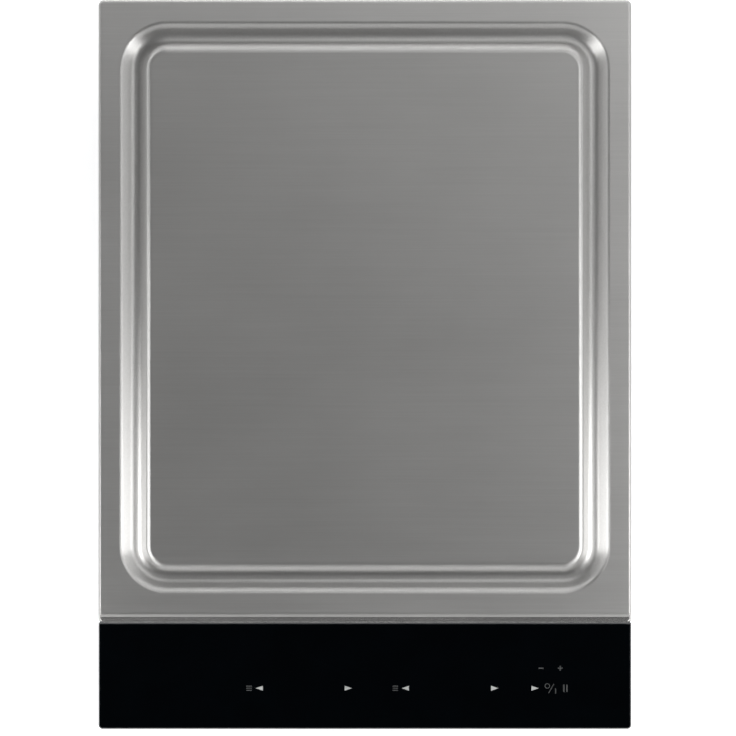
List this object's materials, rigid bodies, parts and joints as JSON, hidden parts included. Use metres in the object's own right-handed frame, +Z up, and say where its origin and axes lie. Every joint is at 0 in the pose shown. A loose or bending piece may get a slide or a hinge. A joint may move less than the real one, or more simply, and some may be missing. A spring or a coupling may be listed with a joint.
{
  "type": "induction teppanyaki cooktop",
  "caption": "Built-in induction griddle: brushed steel plate with a grease gutter round the cooking surface, black glass touch panel in front, sheet steel casing with fan and clamps below.",
  "frame": {"origin": "in the worktop surface, at the middle of the rim's outline", "axes": "+Z up, +Y to the back, away from the touch panel, +X to the right seen from the front"},
  "size_m": [0.38, 0.52, 0.0915],
  "materials": {
    "griddle_steel": "fine brushing along the width, satin",
    "cast_aluminium": "milled, matt",
    "magnetic_steel": "dull rolled sheet",
    "ceramic_wool": "white fibre mat",
    "zinc_steel": "bright zinc-coated sheet",
    "frame_steel": "black powder coat",
    "seal_rubber": "matt foam rubber",
    "black_glass": "polished, opaque black",
    "silicone": "cured bead",
    "circuit_board": "green solder mask",
    "carbon_foam": "soft conductive foam",
    "display_plastic": "dark red tinted",
    "dark_plastic": "fine moulded grain",
    "grey_plastic": "heat-resistant moulding",
    "screw_steel": "nickel-plated",
    "motor_metal": "lacquered laminations",
    "copper_wire": "lacquered stranded copper",
    "ferrite": "dull sintered",
    "mica": "pressed flakes",
    "capacitor_plastic": "moulded case",
    "lead_sleeve": "woven glass sleeve",
    "socket_plastic": "natural nylon",
    "terminal_brass": "turned",
    "sensor_metal": "turned"
  },
  "bodies": {
    "cooktop": {"teppan_plate": "griddle_steel", "heat_spreader_core": "cast_aluminium", "induction_base_sheet": "magnetic_steel", "insulation_mat": "ceramic_wool", "support_rails": "zinc_steel", "top_frame": "frame_steel", "worktop_seal": "seal_rubber", "control_glass": "black_glass", "glass_adhesive": "silicone", "touch_board": "circuit_board", "touch_pads": "carbon_foam", "display_modules": "display_plastic", "touch_board_tray": "dark_plastic", "lower_casing": "zinc_steel", "casing_flange": "zinc_steel", "frame_screws": "screw_steel", "fan_guard": "dark_plastic", "fan_frame": "dark_plastic", "fan_motor": "motor_metal", "air_duct": "grey_plastic", "shield_plate": "cast_aluminium", "shield_posts": "zinc_steel", "chassis_screws": "screw_steel", "coil_carrier_front": "grey_plastic", "coil_carrier_rear": "grey_plastic", "coil_winding_front": "copper_wire", "coil_winding_rear": "copper_wire", "ferrite_bars": "ferrite", "mica_sheets": "mica", "coil_support_pads": "seal_rubber", "power_board": "circuit_board", "board_standoffs": "zinc_steel", "heat_sink": "cast_aluminium", "power_transistors": "dark_plastic", "film_capacitors": "capacitor_plastic", "filter_choke": "dark_plastic", "power_leads": "lead_sleeve", "board_sockets": "socket_plastic", "ribbon_cable": "lead_sleeve", "terminal_box": "dark_plastic", "terminal_block": "socket_plastic", "terminal_screws": "terminal_brass", "cable_grommet": "seal_rubber", "earth_screw": "terminal_brass", "clamp_brackets": "zinc_steel", "sensor_spring_front": "screw_steel", "sensor_spring_rear": "screw_steel"},
    "fan_wheel": {"fan_rotor": "dark_plastic", "fan_shaft": "screw_steel"},
    "lid": {"terminal_lid": "dark_plastic"},
    "sensor_front_body": {"sensor_front": "sensor_metal"},
    "sensor_rear_body": {"sensor_rear": "sensor_metal"},
    "screw_front_left": {"clamp_screw_front_left": "screw_steel"},
    "tongue_front_left": {"clamp_tongue_front_left": "zinc_steel"},
    "screw_front_right": {"clamp_screw_front_right": "screw_steel"},
    "tongue_front_right": {"clamp_tongue_front_right": "zinc_steel"},
    "screw_rear_left": {"clamp_screw_rear_left": "screw_steel"},
    "tongue_rear_left": {"clamp_tongue_rear_left": "zinc_steel"},
    "screw_rear_right": {"clamp_screw_rear_right": "screw_steel"},
    "tongue_rear_right": {"clamp_tongue_rear_right": "zinc_steel"}
  },
  "joints": [
    {"name": "fan_spin", "type": "hinge", "parent": "cooktop", "child": "fan_wheel", "pos_m": [-0.09, 0.15, -0.068], "axis": [0, 0, 1], "continuous": true},
    {"name": "terminal_lid_hinge", "type": "hinge", "parent": "cooktop", "child": "lid", "pos_m": [0.128, 0.2413, -0.0443], "axis": [1, 0, 0], "range_deg": [0, 100]},
    {"name": "sensor_front_slide", "type": "slide", "parent": "cooktop", "child": "sensor_front_body", "axis": [0, 0, -1], "range_m": [0, 0.002], "stiffness_N_per_m": 300, "springref_m": -0.003, "deforming": ["sensor_spring_front"]},
    {"name": "sensor_rear_slide", "type": "slide", "parent": "cooktop", "child": "sensor_rear_body", "axis": [0, 0, -1], "range_m": [0, 0.002], "stiffness_N_per_m": 300, "springref_m": -0.003, "deforming": ["sensor_spring_rear"]},
    {"name": "clamp_swing_front_left", "type": "hinge", "parent": "cooktop", "child": "screw_front_left", "pos_m": [-0.1764, -0.14, -0.0345], "axis": [0, 0, 1], "range_deg": [0, 90]},
    {"name": "clamp_raise_front_left", "type": "slide", "parent": "screw_front_left", "child": "tongue_front_left", "axis": [0, 0, 1], "range_m": [0, 0.04]},
    {"name": "clamp_swing_front_right", "type": "hinge", "parent": "cooktop", "child": "screw_front_right", "pos_m": [0.1764, -0.14, -0.0345], "axis": [0, 0, -1], "range_deg": [0, 90]},
    {"name": "clamp_raise_front_right", "type": "slide", "parent": "screw_front_right", "child": "tongue_front_right", "axis": [0, 0, 1], "range_m": [0, 0.04]},
    {"name": "clamp_swing_rear_left", "type": "hinge", "parent": "cooktop", "child": "screw_rear_left", "pos_m": [-0.1764, 0.14, -0.0345], "axis": [0, 0, 1], "range_deg": [0, 90]},
    {"name": "clamp_raise_rear_left", "type": "slide", "parent": "screw_rear_left", "child": "tongue_rear_left", "axis": [0, 0, 1], "range_m": [0, 0.04]},
    {"name": "clamp_swing_rear_right", "type": "hinge", "parent": "cooktop", "child": "screw_rear_right", "pos_m": [0.1764, 0.14, -0.0345], "axis": [0, 0, -1], "range_deg": [0, 90]},
    {"name": "clamp_raise_rear_right", "type": "slide", "parent": "screw_rear_right", "child": "tongue_rear_right", "axis": [0, 0, 1], "range_m": [0, 0.04]}
  ]
}
